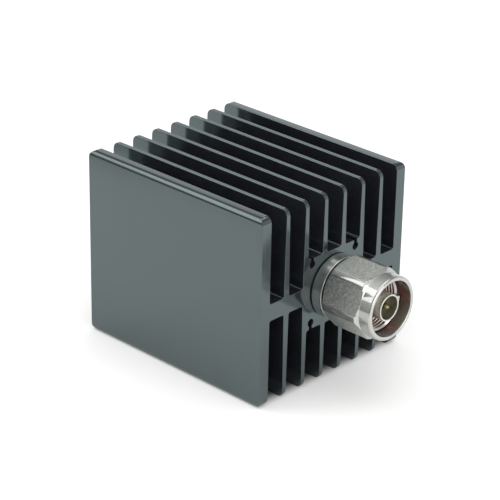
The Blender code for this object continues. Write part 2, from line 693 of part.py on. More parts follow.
def make_carrier_screws():
    """Four slotted cheese-head screws that clamp the carrier's halves."""
    end = SCREW_HOLE_END + SEAT_GAP
    profile = [
        (0.0, SCREW_HEAD_TOP),
        (SCREW_HEAD_RADIUS, SCREW_HEAD_TOP),
        (SCREW_HEAD_RADIUS, SCREW_SEAT),
        (SCREW_SHANK_RADIUS, SCREW_SEAT),
        (SCREW_SHANK_RADIUS, end),
        (0.0, end),
    ]
    for i, (along, across) in enumerate(screw_places(), 1):
        x, y, z = on_axis(along)
        spot = (x, y + across, z)
        screw = turned(f"carrier_screw_{i}", profile, spot, UPRIGHT, STEEL, SMALL_SEGMENTS)
        slot_size = (2 * SCREW_HEAD_RADIUS + OVERRUN, SCREW_SLOT, 2 * SCREW_SLOT)
        slot_spot = (x, y + across, z + SCREW_HEAD_TOP)
        cut(screw, as_cutter(block(f"screw_slot_{i}", slot_size, slot_spot, CUTTERS)))


def make_substrate_and_tabs():
    """The ceramic that carries the resistive film, and the strips that join it to the two contacts."""
    size = (SUBSTRATE_LENGTH, SUBSTRATE_WIDTH, SUBSTRATE_THICKNESS)
    middle = on_axis(0.0, SUBSTRATE_TOP - SUBSTRATE_THICKNESS / 2)
    block("attenuator_substrate", size, middle, PIECES, material=CERAMIC)
    outer = SINK_LENGTH / 2 + TAIL_END - SEAT_GAP
    inner = SUBSTRATE_LENGTH / 2 - TAB_LAP
    for name, end in (("input_tab", 1), ("output_tab", -1)):
        spot = on_axis(end * (outer + inner) / 2, SUBSTRATE_TOP + SEAT_GAP + TAB_THICKNESS / 2)
        block(name, (outer - inner, TAB_WIDTH, TAB_THICKNESS), spot, PIECES, material=GOLD)


make_heatsink()
make_plug_body()
make_sleeve()
make_insulator(
    "male_insulator",
    SLEEVE_RIM - PLUG_LINE_DEPTH,
    SLEEVE_SEAT,
    LINE_RADIUS + BODY_BORE_STEP,
    PLUG_END,
    TO_PLUG,
)
make_pin()
make_gasket()
make_snap_ring()
make_nut()
make_jack_body()
make_insulator(
    "female_insulator",
    JACK_PLANE - SEAT_GAP,
    JACK_PLANE - JACK_LAND - SEAT_GAP,
    LINE_RADIUS + 2 * BODY_BORE_STEP,
    JACK_END,
    TO_JACK,
)
make_socket()
make_carrier_base()
make_carrier_cap()
make_carrier_screws()
make_substrate_and_tabs()
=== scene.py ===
"""Looks of the coaxial attenuator: turned shells, threads, finishes, floor, light and camera.

Sizes are in millimetres until they meet Blender. Stations are counted outwards from the heatsink's
end face, as in the part's source, and angles round the coaxial axis go from +Y towards +Z. A turned
profile is a list of stations and radii.
"""

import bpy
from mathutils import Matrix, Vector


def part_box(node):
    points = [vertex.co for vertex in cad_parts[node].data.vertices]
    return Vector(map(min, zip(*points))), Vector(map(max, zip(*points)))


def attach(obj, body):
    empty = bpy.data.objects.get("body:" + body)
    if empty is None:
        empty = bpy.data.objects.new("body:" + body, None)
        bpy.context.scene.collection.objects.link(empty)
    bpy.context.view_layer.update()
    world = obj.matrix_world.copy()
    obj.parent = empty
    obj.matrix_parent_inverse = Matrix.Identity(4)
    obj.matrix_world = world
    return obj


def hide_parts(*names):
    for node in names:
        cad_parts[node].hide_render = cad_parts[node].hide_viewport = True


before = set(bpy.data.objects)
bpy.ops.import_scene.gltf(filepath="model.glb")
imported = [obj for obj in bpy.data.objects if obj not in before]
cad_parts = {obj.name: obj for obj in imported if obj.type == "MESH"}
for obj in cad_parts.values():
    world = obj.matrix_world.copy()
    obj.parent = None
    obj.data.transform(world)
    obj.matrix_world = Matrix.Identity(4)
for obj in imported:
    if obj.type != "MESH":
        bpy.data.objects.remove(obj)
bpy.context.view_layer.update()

import math

import bmesh
import bpy
from mathutils import Matrix, Vector

MM = 0.001

# Two places nearer than this are one place
TOUCHING = 0.001 * MM

# Places taken from the CAD nodes
sink_low, sink_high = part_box("heatsink_body")
AXIS_HEIGHT = (sink_low.z + sink_high.z) / 2
AXIS = Vector((0, 0, AXIS_HEIGHT))
PLUG_END = (sink_high.x, 1)
JACK_END = (sink_low.x, -1)

# Facets
ROUND_STEPS = 128
SMALL_STEPS = 48
THREAD_STEPS = 72

# Thread, 24 turns to the inch
THREAD_PITCH = 1.0583
THREAD_RADIUS = 7.9375
THREAD_ROOT_WIDTH = 0.95
THREAD_CREST_WIDTH = 0.2

# What plug and jack share
SEAT_GAP = 0.3
COLLAR_FRONT = 3.9
COLLAR_RADIUS = 9.55
SPIGOT_END = -9.0
SPIGOT_RADIUS = 7.3
LINE_RADIUS = 3.5
BUSH_END = SPIGOT_END + SEAT_GAP
BUSH_BORE = 1.82
BUSH_NOSE_RADIUS = LINE_RADIUS - SEAT_GAP

# Plug body, with the groove for its snap ring
NOSE_FRONT = 10.5
NECK_RADIUS = 6.3
GROOVE_REAR = 7.4
GROOVE_FRONT = 8.6
GROOVE_RADIUS = 5.705
PLUG_BORE = 3.8
SLEEVE_SEAT = 8.0
SLEEVE_SEAT_RADIUS = 5.3

# Plug sleeve and gasket
SLEEVE_FRONT = 21.1
SLEEVE_RADIUS = 4.05
FLANGE_FRONT = 10.3
GASKET_FRONT = 12.0
GASKET_RADIUS = 6.9

# Plug insulator and pin
PLUG_BUSH_FRONT = 12.1
PIN_FRONT = 20.7
PIN_TIP_RADIUS = 0.25
PIN_ROUND_END = 20.5
PIN_ROUND_RADIUS = 0.45
PIN_TAPER_END = 19.4
PIN_SHOULDER = 15.8
PIN_RADIUS = 0.8
PIN_BODY_RADIUS = 1.52
PIN_TAIL_END = -10.5
PIN_TAIL_RADIUS = 0.6

# Coupling nut: outside
NUT_REAR = 4.4
NUT_REAR_RADIUS = 9.3
NUT_REAR_CHAMFER = 1.0
NUT_SIDES = 6
NUT_TURN = 9.0
NUT_FLAT = 9.65
NUT_CORNER = 10.62
NUT_SHOULDER = 17.25
NUT_CONE_END = 18.0
NUT_NOSE = 9.6
NUT_FRONT = 22.0
NUT_LIP = 0.6
NUT_EDGE_BREAK = 0.22
NUT_CONE_EDGE_BREAK = 0.035

# Coupling nut: inside
NUT_REAR_BORE = 6.6
NUT_FLOOR = 7.4
NUT_FLOOR_RADIUS = 7.4
NUT_BORE_REAR = 7.9
NUT_BORE_FRONT = 17.2
NUT_BORE = 7.95
NUT_MOUTH_REAR = 18.0
NUT_MOUTH = 8.3
NUT_THREAD_ROOT = 7.97
NUT_THREAD_CREST = 7.365
NUT_THREAD_START = 8.1
NUT_THREAD_TURNS = 9

# Jack
JACK_FRONT = 16.5
JACK_MOUTH = 4.19
JACK_MOUTH_CHAMFER = 0.35
JACK_FLOOR = 7.4
JACK_STEP = 5.4
JACK_BORE = 4.1
JACK_NECK_RADIUS = 7.0
BARREL_RADIUS = 7.34
BARREL_REAR = 5.8
BARREL_CHAMFER = 0.3
JACK_THREAD_ROOT = 7.32
JACK_THREAD_START = 6.75
JACK_THREAD_TURNS = 8

# Screw ports, in a square round the axis
PORT_ASIDE = 9.13
PORT_RADIUS = 1.4


def pick(thing):
    """Selects one object alone and makes it the active one."""
    bpy.ops.object.select_all(action="DESELECT")
    thing.select_set(True)
    bpy.context.view_layer.objects.active = thing


def edit(thing):
    """Opens one object in edit mode with all of it selected."""
    pick(thing)
    bpy.ops.object.mode_set(mode="EDIT")
    bpy.ops.mesh.select_mode(type="VERT")
    bpy.ops.mesh.select_all(action="SELECT")


def close():
    """Welds what is open in edit mode, points its faces outwards and goes back to object mode."""
    bpy.ops.mesh.select_all(action="SELECT")
    bpy.ops.mesh.remove_doubles(threshold=TOUCHING)
    bpy.ops.mesh.normals_make_consistent(inside=False)
    bpy.ops.object.mode_set(mode="OBJECT")


def choose(thing, kind, test):
    """Selects the vertices, edges or faces of the open mesh that pass the test."""
    bpy.ops.mesh.select_all(action="DESELECT")
    bpy.ops.mesh.select_mode(type=kind)
    mesh = bmesh.from_edit_mesh(thing.data)
    for item in {"VERT": mesh.verts, "EDGE": mesh.edges, "FACE": mesh.faces}[kind]:
        item.select_set(test(item))
    bmesh.update_edit_mesh(thing.data)


def off_axis(place):
    """How far a place is from the coaxial axis."""
    return (place - AXIS).yz.length


def turned(name, profile, end, steps=ROUND_STEPS):
    """A ring is drawn at the profile's first point, then extruded and resized from point to point.
    A profile that comes back to its first point makes a hollow piece, and any other is capped."""
    place, way = end
    points = [(place + way * station * MM, radius * MM) for station, radius in profile]
    x, radius = points[0]
    bpy.ops.object.select_all(action="DESELECT")
    bpy.ops.mesh.primitive_circle_add(
        vertices=steps, radius=radius, location=(x, 0, AXIS_HEIGHT), rotation=(0, math.pi / 2, 0)
    )
    thing = bpy.context.object
    thing.name = name
    bpy.ops.object.transform_apply(location=True, rotation=True, scale=True)
    edit(thing)
    hollow = profile[0] == profile[-1]
    for following, wider in points[1:]:
        bpy.ops.mesh.extrude_region_move(TRANSFORM_OT_translate={"value": (following - x, 0, 0)})
        ratio = wider / radius
        bpy.ops.transform.resize(value=(1, ratio, ratio), center_override=(following, 0, AXIS_HEIGHT))
        x, radius = following, wider
    if not hollow:
        bpy.ops.mesh.edge_face_add()
        choose(thing, "EDGE", lambda edge: edge.is_boundary)
        bpy.ops.mesh.edge_face_add()
    close()
    return thing


def apply_all(thing):
    """Applies the modifiers of one object, first to last."""
    pick(thing)
    for modifier in list(thing.modifiers):
        bpy.ops.object.modifier_apply(modifier=modifier.name)


def round_edges(thing, width, sharper_than=40, segments=2):
    """Breaks every edge that is sharper than an angle in degrees."""
    bevel = thing.modifiers.new("edges", "BEVEL")
    bevel.width = width * MM
    bevel.segments = segments
    bevel.limit_method = "ANGLE"
    bevel.angle_limit = math.radians(sharper_than)
    bevel.use_clamp_overlap = False
    bevel.harden_normals = False
    apply_all(thing)


def settle(thing, body, slot, material, *stands_for):
    """Smooths a finished piece, gives it its finish and puts it on its body."""
    pick(thing)
    bpy.ops.object.shade_smooth_by_angle(angle=math.radians(35))
    even = thing.modifiers.new("flat faces stay flat", "WEIGHTED_NORMAL")
    even.keep_sharp = True
    even.weight = 100
    apply_all(thing)
    thing.data.materials.clear()
    thing.data.materials.append(material)
    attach(thing, body)
    if stands_for:
        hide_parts(*stands_for)


def finish_faces(thing, material, test):
    """Gives one more finish to the faces of a settled piece that pass the test."""
    thing.data.materials.append(material)
    edit(thing)
    choose(thing, "FACE", test)
    thing.active_material_index = len(thing.data.materials) - 1
    bpy.ops.object.material_slot_assign()
    bpy.ops.object.mode_set(mode="OBJECT")


def copy_of(node, name):
    """A welded copy of a CAD node with its flat faces made whole again."""
    thing = bpy.data.objects.new(name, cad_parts[node].data.copy())
    bpy.context.scene.collection.objects.link(thing)
    edit(thing)
    bpy.ops.mesh.remove_doubles(threshold=TOUCHING)
    bpy.ops.mesh.dissolve_limited(angle_limit=math.radians(0.5))
    close()
    return thing


def thread(name, root, crest, start, turns, end):
    """A trapezium drawn on the thread's root and crest, swept along a right-hand helix."""
    place, way = end
    middle = (root + crest) / 2 * MM
    bpy.ops.object.select_all(action="DESELECT")
    bpy.ops.mesh.primitive_plane_add(size=1)
    ridge = bpy.context.object
    ridge.name = name
    edit(ridge)
    bpy.ops.transform.resize(value=(THREAD_ROOT_WIDTH * MM, abs(root - crest) * MM, 1))
    bpy.ops.transform.translate(value=(0, middle, 0))
    rising = crest > root
    choose(ridge, "VERT", lambda vertex: (vertex.co.y > middle) == rising)
    narrowing = THREAD_CREST_WIDTH / THREAD_ROOT_WIDTH
    bpy.ops.transform.resize(value=(narrowing, 1, 1), center_override=(0, crest * MM, 0))
    bpy.ops.mesh.select_all(action="SELECT")
    bpy.ops.mesh.delete(type="ONLY_FACE")
    bpy.ops.object.mode_set(mode="OBJECT")
    sweep = ridge.modifiers.new("helix", "SCREW")
    sweep.axis = "X"
    sweep.angle = math.tau
    sweep.screw_offset = THREAD_PITCH * MM
    sweep.iterations = turns
    sweep.steps = THREAD_STEPS
    sweep.render_steps = THREAD_STEPS
    apply_all(ridge)
    edit(ridge)
    bpy.ops.mesh.fill_holes(sides=4)
    close()
    nearest = start if way > 0 else start + turns * THREAD_PITCH
    ridge.location = (place + way * nearest * MM, 0, AXIS_HEIGHT)
    bpy.ops.object.transform_apply(location=True, rotation=True, scale=True)
    return ridge


def linear(code):
    """The linear colour of an sRGB hex code."""
    levels = [int(code[at:at + 2], 16) / 255 for at in (1, 3, 5)]
    return [v / 12.92 if v <= 0.04045 else ((v + 0.055) / 1.055) ** 2.4 for v in levels] + [1.0]


def add(tree, kind, inputs=None, **settings):
    """One node, with its own settings, and with values or other nodes' outputs on its sockets."""
    made = tree.nodes.new("ShaderNode" + kind)
    for name, value in settings.items():
        setattr(made, name, value)
    for socket, value in (inputs or {}).items():
        if isinstance(value, bpy.types.NodeSocket):
            tree.links.new(value, made.inputs[socket])
        else:
            made.inputs[socket].default_value = value
    return made


def blank(name):
    """A new material with an empty tree."""
    material = bpy.data.materials.new(name)
    material.use_nodes = True
    material.node_tree.nodes.clear()
    return material, material.node_tree


def centred(tree, per_mm=(1.0, 1.0, 1.0)):
    """Object coordinates counted from the coaxial axis, with so many units to a millimetre."""
    place = add(tree, "TexCoord")
    per_metre = tuple(units / MM for units in per_mm)
    moved = add(tree, "Mapping", {
        "Vector": place.outputs["Object"],
        "Location": (0.0, 0.0, -AXIS_HEIGHT * per_metre[2]),
        "Scale": per_metre,
    })
    return moved.outputs["Vector"]


def lathe_walk(tree):
    """How far a tool has walked along and across a turned surface, in millimetres: x plus the radius."""
    spot = centred(tree)
    across = add(tree, "VectorMath", {0: spot, 1: (0.0, 1.0, 1.0)}, operation="MULTIPLY")
    radius = add(tree, "VectorMath", {0: across.outputs["Vector"]}, operation="LENGTH")
    along = add(tree, "SeparateXYZ", {"Vector": spot})
    walk = add(tree, "Math", {0: along.outputs["X"], 1: radius.outputs["Value"]}, operation="ADD")
    return spot, walk.outputs["Value"]


# Nearly all of a noise texture lies between these two values
NOISE = {"From Min": 0.3, "From Max": 0.7}


def turned_metal(name, light, dark, rough, rings, clouds, shine=0.0):
    """Metal cut on a lathe: fine rings round the axis, a slight cloudiness under them, and where the
    plating lies smooth over them, a clear shine on top of the haze. Spacing, size and depth are in
    millimetres."""
    material, tree = blank(name)
    spot, walk = lathe_walk(tree)
    ring = add(tree, "TexNoise", {
        "W": walk, "Scale": 1 / rings["spacing"], "Detail": 2.0, "Roughness": 0.6,
    }, noise_dimensions="1D").outputs["Fac"]
    cloud = add(tree, "TexNoise", {
        "Vector": spot, "Scale": 1 / clouds["size"], "Detail": 3.0, "Roughness": 0.55,
    }).outputs["Fac"]
    shade = add(tree, "MapRange", {"Value": cloud, **NOISE, "To Min": 0.0, "To Max": 1.0})
    tint = add(tree, "MixRGB", {
        "Fac": shade.outputs["Result"], "Color1": linear(dark), "Color2": linear(light),
    })
    dull = add(tree, "MapRange", {"Value": cloud, **NOISE, "To Min": rough[0], "To Max": rough[1]})
    streak = add(tree, "MapRange", {
        "Value": ring, **NOISE, "To Min": -rings["blur"], "To Max": rings["blur"],
    })
    blur = add(tree, "Math", {0: dull.outputs["Result"], 1: streak.outputs["Result"]}, operation="ADD")
    grooves = add(tree, "Bump", {"Height": ring, "Distance": rings["depth"] * MM})
    waves = add(tree, "Bump", {
        "Height": cloud, "Distance": clouds["depth"] * MM, "Normal": grooves.outputs["Normal"],
    })
    metal = add(tree, "BsdfPrincipled", {
        "Base Color": tint.outputs["Color"], "Roughness": blur.outputs["Value"], "Metallic": 1.0,
        "Normal": waves.outputs["Normal"], "Coat Weight": shine, "Coat Roughness": 0.07,
        "Coat IOR": 3.0, "Coat Normal": waves.outputs["Normal"],
    })
    add(tree, "OutputMaterial", {"Surface": metal.outputs["BSDF"]})
    return material


def anodised_aluminium():
    """Extruded, etched and black anodised: a glassy dark oxide that mirrors at a slant. Die lines
    0.4 mm apart and 30 mm long run along the extrusion, and saw marks 0.8 mm apart and 5 mm long
    cross the cut ends. The real lines are finer and are drawn this coarse so that they show."""
    material, tree = blank("black_anodised_extrusion")
    spot = centred(tree)
    along_die = centred(tree, (0.03, 2.6, 2.6))
    along_saw = centred(tree, (1.0, 1.0, 0.16))
    die = add(tree, "TexNoise", {
        "Vector": along_die, "Scale": 1.0, "Detail": 3.0, "Roughness": 0.6,
    })
    saw = add(tree, "TexNoise", {
        "Vector": along_saw, "Scale": 1 / 0.8, "Detail": 2.0, "Roughness": 0.5,
    })
    clouds = add(tree, "TexNoise", {
        "Vector": spot, "Scale": 1 / 7.0, "Detail": 3.0, "Roughness": 0.6,
    })
    grain = add(tree, "TexNoise", {
        "Vector": spot, "Scale": 1 / 0.45, "Detail": 2.0, "Roughness": 0.6,
    }).outputs["Fac"]
    facing = add(tree, "SeparateXYZ", {"Vector": add(tree, "TexCoord").outputs["Normal"]})
    endwise = add(tree, "Math", {0: facing.outputs["X"]}, operation="ABSOLUTE")
    sawn = add(tree, "Math", {0: endwise.outputs["Value"], 1: 0.8}, operation="GREATER_THAN")
    marks = add(tree, "Mix", {
        0: sawn.outputs["Value"], 2: die.outputs["Fac"], 3: saw.outputs["Fac"],
    }).outputs["Result"]
    shade = add(tree, "MapRange", {
        "Value": clouds.outputs["Fac"], **NOISE, "To Min": 0.0, "To Max": 1.0,
    })
    tint = add(tree, "MixRGB", {
        "Fac": shade.outputs["Result"], "Color1": linear("#212226"), "Color2": linear("#292a2f"),
    })
    dull = add(tree, "MapRange", {"Value": marks, **NOISE, "To Min": 0.11, "To Max": 0.16})
    speck = add(tree, "MapRange", {"Value": grain, **NOISE, "To Min": -0.015, "To Max": 0.015})
    blur = add(tree, "Math", {0: dull.outputs["Result"], 1: speck.outputs["Result"]}, operation="ADD")
    lines = add(tree, "Bump", {"Height": marks, "Distance": 0.0008 * MM})
    pits = add(tree, "Bump", {
        "Height": grain, "Distance": 0.0006 * MM, "Normal": lines.outputs["Normal"],
    })
    skin = add(tree, "BsdfPrincipled", {
        "Base Color": tint.outputs["Color"], "Roughness": blur.outputs["Value"], "IOR": 2.05,
        "Specular Tint": linear("#e4fffe"), "Normal": pits.outputs["Normal"],
    })
    add(tree, "OutputMaterial", {"Surface": skin.outputs["BSDF"]})
    return material


def plain_stuff(name, light, dark, rough, grain_size, grain_depth, ior, soft=0.0):
    """A moulded, turned or fired material that isn't metal: an even colour with a fine grain."""
    material, tree = blank(name)
    grain = add(tree, "TexNoise", {
        "Vector": centred(tree), "Scale": 1 / grain_size, "Detail": 3.0, "Roughness": 0.6,
    }).outputs["Fac"]
    shade = add(tree, "MapRange", {"Value": grain, **NOISE, "To Min": 0.0, "To Max": 1.0})
    tint = add(tree, "MixRGB", {
        "Fac": shade.outputs["Result"], "Color1": linear(dark), "Color2": linear(light),
    })
    dull = add(tree, "MapRange", {"Value": grain, **NOISE, "To Min": rough[0], "To Max": rough[1]})
    relief = add(tree, "Bump", {"Height": grain, "Distance": grain_depth * MM})
    body = add(tree, "BsdfPrincipled", {
        "Base Color": tint.outputs["Color"], "Roughness": dull.outputs["Result"], "IOR": ior,
        "Subsurface Weight": soft, "Subsurface Scale": 0.6 * MM, "Normal": relief.outputs["Normal"],
    })
    add(tree, "OutputMaterial", {"Surface": body.outputs["BSDF"]})
    return material


# White bronze plate on turned brass: a slightly grey haze from fine turning rings, and over it the
# plating's own shine, which keeps the edges of bright reflections sharp. The real rings are about
# 0.1 mm apart, under half a pixel, so they are drawn at 0.3 mm, and in the next finishes at 0.15 mm
# or more.
plate = turned_metal(
    "white_bronze_on_turned_brass", "#b6b8b3", "#aaaca7", (0.4, 0.48),
    {"spacing": 0.3, "depth": 0.0008, "blur": 0.04}, {"size": 1.4, "depth": 0.004}, shine=1.0,
)

# The same plate over the hexagon's cut flats: satin, with a grain that spreads reflections. The
# real grain is about 0.1 mm and is drawn at 0.6 mm, two pixels, so that it shows.
satin_plate = turned_metal(
    "white_bronze_on_cut_flats", "#d8dad5", "#b0b2ac", (0.38, 0.55),
    {"spacing": 0.45, "depth": 0.003, "blur": 0.06}, {"size": 0.6, "depth": 0.1},
)

# The slit sleeve of the plug: the same plate, slightly warmer and duller where plugs have rubbed it.
sleeve_plate = turned_metal(
    "white_bronze_on_sleeve", "#dad9cd", "#cccbc0", (0.28, 0.36),
    {"spacing": 0.3, "depth": 0.0008, "blur": 0.03}, {"size": 0.9, "depth": 0.001},
)

# The same plate in the nut's bore and mouth and on its lip, where the turning is coarser and the
# plating thinner: a dull mirror that blurs what it shows.
soft_plate = turned_metal(
    "white_bronze_on_rough_turning", "#c4c2bd", "#bebcb6", (0.23, 0.26),
    {"spacing": 0.35, "depth": 0.0005, "blur": 0.01}, {"size": 2.5, "depth": 0.0005},
)

# Gold over nickel on turned brass: a warm, clean mirror with the same fine rings.
gold = turned_metal(
    "gold_plate_on_turned_brass", "#b2a885", "#a49a75", (0.2, 0.28),
    {"spacing": 0.2, "depth": 0.0008, "blur": 0.03}, {"size": 0.9, "depth": 0.002},
)

# Turned stainless steel: greyer and a little rougher than the plate.
stainless = turned_metal(
    "turned_stainless_steel", "#bfbdb8", "#aeaca8", (0.2, 0.3),
    {"spacing": 0.15, "depth": 0.0015, "blur": 0.05}, {"size": 0.8, "depth": 0.001},
)

# Milled bare aluminium: pale and satin, with the cutter's marks half a millimetre apart.
milled = turned_metal(
    "milled_bare_aluminium", "#d6d7d9", "#c6c7c9", (0.28, 0.4),
    {"spacing": 0.5, "depth": 0.004, "blur": 0.06}, {"size": 2.5, "depth": 0.002},
)

# Turned PTFE: waxy white that lets a little light in.
ptfe = plain_stuff("turned_ptfe", "#f1f0ec", "#e8e6e1", (0.38, 0.5), 0.4, 0.003, 1.38, soft=0.1)

# Moulded silicone rubber: a dull brick red with a soft grain.
silicone = plain_stuff("moulded_red_silicone", "#e0523c", "#cb4430", (0.45, 0.6), 0.5, 0.006, 1.41)

# Fired alumina: chalk white, dense and matt.
alumina = plain_stuff("fired_alumina", "#ecebe4", "#e0dfd6", (0.5, 0.65), 0.3, 0.003, 1.76)

# Inside the screw ports neither die nor saw has smoothed the metal: a dull finish, and a deeper black
# that is painted shade of the deep holes.
port_oxide_and_painted_shade = plain_stuff("black_anodised_port_and_painted_shade", "#141416", "#0e0e10", (0.6, 0.75), 0.3, 0.002, 1.5)

# Black anodised extrusion: near black straight on, and a cool grey mirror at a slant.
oxide = anodised_aluminium()


def make_heatsink():
    """The extrusion with its sawn edges broken and its screw ports left dull and painted darker as their
    shade.
    """

    def in_port(face):
        across = [abs(part) for part in (face.calc_center_median() - AXIS).yz]
        return abs(face.normal.x) < 0.1 and math.dist(across, [PORT_ASIDE * MM] * 2) < PORT_RADIUS * MM

    sink = copy_of("heatsink_body", "heatsink_extrusion")
    round_edges(sink, 0.12, sharper_than=38)
    settle(sink, "attenuator_body", "anodised_aluminium", oxide, "heatsink_body")
    # The ports' faces get a darker colour: painted shade in the holes
    finish_faces(sink, port_oxide_and_painted_shade, in_port)


def nut_blank():
    """The round blank that the hexagon is cut from."""
    return turned("coupling_nut_shell", [
        (NUT_REAR, NUT_REAR_BORE), (NUT_REAR, NUT_REAR_RADIUS),
        (NUT_REAR + NUT_REAR_CHAMFER, NUT_CORNER), (NUT_SHOULDER, NUT_CORNER),
        (NUT_CONE_END, NUT_NOSE), (NUT_FRONT, NUT_NOSE),
        (NUT_FRONT, NUT_MOUTH), (NUT_MOUTH_REAR, NUT_MOUTH),
        (NUT_BORE_FRONT, NUT_BORE), (NUT_BORE_REAR, NUT_BORE),
        (NUT_FLOOR, NUT_FLOOR_RADIUS), (NUT_FLOOR, NUT_REAR_BORE),
        (NUT_REAR, NUT_REAR_BORE),
    ], PLUG_END)


def cut_flats(nut, outwards):
    """Leaves the nut open in edit mode with its six flats cut."""
    edit(nut)
    for outward in outwards:
        bpy.ops.mesh.select_all(action="SELECT")
        bpy.ops.mesh.bisect(
            plane_co=AXIS + outward * NUT_FLAT * MM, plane_no=outward, use_fill=True,
            clear_outer=True, threshold=TOUCHING,
        )


def break_nut_edges(nut):
    """On the open nut: a round lip, sharp edges broken, and hardly so where flats meet the cone."""
    front = sink_high.x + NUT_FRONT * MM
    choose(nut, "EDGE", lambda edge: all(
        abs(vertex.co.x - front) < TOUCHING and off_axis(vertex.co) > NUT_NOSE * MM - TOUCHING
        for vertex in edge.verts
    ))
    bpy.ops.mesh.bevel(offset=NUT_LIP * MM, segments=6)

    # The flats meet the cone in front of its shoulder and behind its front circle
    cone_rear = sink_high.x + (NUT_SHOULDER + 0.05) * MM
    cone_front = sink_high.x + (NUT_CONE_END + 0.05) * MM
    waist = sink_high.x + (NUT_CONE_END - 0.005) * MM

    def sharp(edge, on_cone):
        low, high = sorted(vertex.co.x for vertex in edge.verts)
        if edge.calc_face_angle(0) <= math.radians(20) or (on_cone and low > waist):
            return False
        return (cone_rear < low and high < cone_front) == on_cone

    choose(nut, "EDGE", lambda edge: sharp(edge, False))
    bpy.ops.mesh.bevel(offset=NUT_EDGE_BREAK * MM, segments=3)
    choose(nut, "EDGE", lambda edge: sharp(edge, True))
    bpy.ops.mesh.bevel(offset=NUT_CONE_EDGE_BREAK * MM, segments=1)
    close()


def make_coupling_nut():
    """Turned blank, hexagon cut on its rear, edges broken, and the thread cut inside."""
    first = NUT_TURN + 180 / NUT_SIDES
    angles = [math.radians(first + 360 / NUT_SIDES * side) for side in range(NUT_SIDES)]
    outwards = [Vector((0, math.cos(angle), math.sin(angle))) for angle in angles]

    def on_flat(face):
        middle = face.calc_center_median() - AXIS
        return abs(face.normal.x) < 0.01 and any(
            face.normal.dot(outward) > 0.9995
            and abs(middle.dot(outward) - NUT_FLAT * MM) < 0.01 * MM
            for outward in outwards
        )

    def inside_or_on_lip(face):
        middle = face.calc_center_median()
        slanting = 0.02 < face.normal.x < 0.98
        return off_axis(middle) < (NUT_MOUTH + 0.05) * MM or (
            slanting and middle.x > sink_high.x + (NUT_FRONT - NUT_LIP) * MM
        )

    nut = nut_blank()
    cut_flats(nut, outwards)
    break_nut_edges(nut)
    settle(nut, "coupling_nut", "plated_brass", plate, "coupling_nut")
    finish_faces(nut, satin_plate, on_flat)
    finish_faces(nut, soft_plate, inside_or_on_lip)
    turns = thread("coupling_nut_thread", NUT_THREAD_ROOT, NUT_THREAD_CREST, NUT_THREAD_START,
                   NUT_THREAD_TURNS, PLUG_END)
    settle(turns, "coupling_nut", "plated_brass", soft_plate)


def make_plug_body():
    """Collar, neck with its ring groove, and nose, on the spigot that is pressed into the bore."""
    body = turned("plug_body_shell", [
        (NOSE_FRONT, SLEEVE_SEAT_RADIUS), (NOSE_FRONT, NECK_RADIUS),
        (GROOVE_FRONT, NECK_RADIUS), (GROOVE_FRONT, GROOVE_RADIUS),
        (GROOVE_REAR, GROOVE_RADIUS), (GROOVE_REAR, NECK_RADIUS),
        (COLLAR_FRONT, NECK_RADIUS), (COLLAR_FRONT, COLLAR_RADIUS),
        (SEAT_GAP, COLLAR_RADIUS), (SEAT_GAP, SPIGOT_RADIUS),
        (SPIGOT_END, SPIGOT_RADIUS), (SPIGOT_END, PLUG_BORE),
        (SLEEVE_SEAT, PLUG_BORE), (SLEEVE_SEAT, SLEEVE_SEAT_RADIUS),
        (NOSE_FRONT, SLEEVE_SEAT_RADIUS),
    ], PLUG_END)
    round_edges(body, 0.22, segments=3)
    settle(body, "attenuator_body", "plated_brass", plate, "male_body")


def make_plug_sleeve():
    """The outer contact, with the flange that seats it in the nose, and the gasket round its foot."""
    rear = SLEEVE_SEAT + SEAT_GAP
    flange = SLEEVE_SEAT_RADIUS - SEAT_GAP
    sleeve = turned("plug_sleeve_shell", [
        (SLEEVE_FRONT, LINE_RADIUS), (SLEEVE_FRONT, SLEEVE_RADIUS), (FLANGE_FRONT, SLEEVE_RADIUS),
        (FLANGE_FRONT, flange), (rear, flange), (rear, LINE_RADIUS), (SLEEVE_FRONT, LINE_RADIUS),
    ], PLUG_END)
    round_edges(sleeve, 0.12, segments=3)
    settle(sleeve, "attenuator_body", "plated_brass", sleeve_plate, "male_outer_contact")
    foot = NOSE_FRONT + SEAT_GAP
    bore = SLEEVE_RADIUS + SEAT_GAP
    gasket = turned("plug_gasket_ring", [
        (GASKET_FRONT, bore), (GASKET_FRONT, GASKET_RADIUS), (foot, GASKET_RADIUS), (foot, bore),
        (GASKET_FRONT, bore),
    ], PLUG_END)
    round_edges(gasket, 0.35, segments=4)
    settle(gasket, "attenuator_body", "silicone", silicone, "male_gasket")


def make_bush(name, front, step, radius, end, node):
    """An insulator with a nose that reaches into the line, bored for its contact."""
    bush = turned(name, [
        (front, BUSH_BORE), (front, BUSH_NOSE_RADIUS), (step, BUSH_NOSE_RADIUS), (step, radius),
        (BUSH_END, radius), (BUSH_END, BUSH_BORE), (front, BUSH_BORE),
    ], end, SMALL_STEPS)
    round_edges(bush, 0.1)
    settle(bush, "attenuator_body", "ptfe", ptfe, node)


def make_plug_pin():
    """The pin: a round-tipped taper, the contact itself, a thicker body and a tail for its tab."""
    pin = turned("plug_pin_shell", [
        (PIN_FRONT, PIN_TIP_RADIUS), (PIN_ROUND_END, PIN_ROUND_RADIUS), (PIN_TAPER_END, PIN_RADIUS),
        (PIN_SHOULDER, PIN_RADIUS), (PIN_SHOULDER, PIN_BODY_RADIUS), (BUSH_END, PIN_BODY_RADIUS),
        (BUSH_END, PIN_TAIL_RADIUS), (PIN_TAIL_END, PIN_TAIL_RADIUS),
    ], PLUG_END, SMALL_STEPS)
    round_edges(pin, 0.08)
    settle(pin, "attenuator_body", "gold_contact", gold, "male_centre_pin")


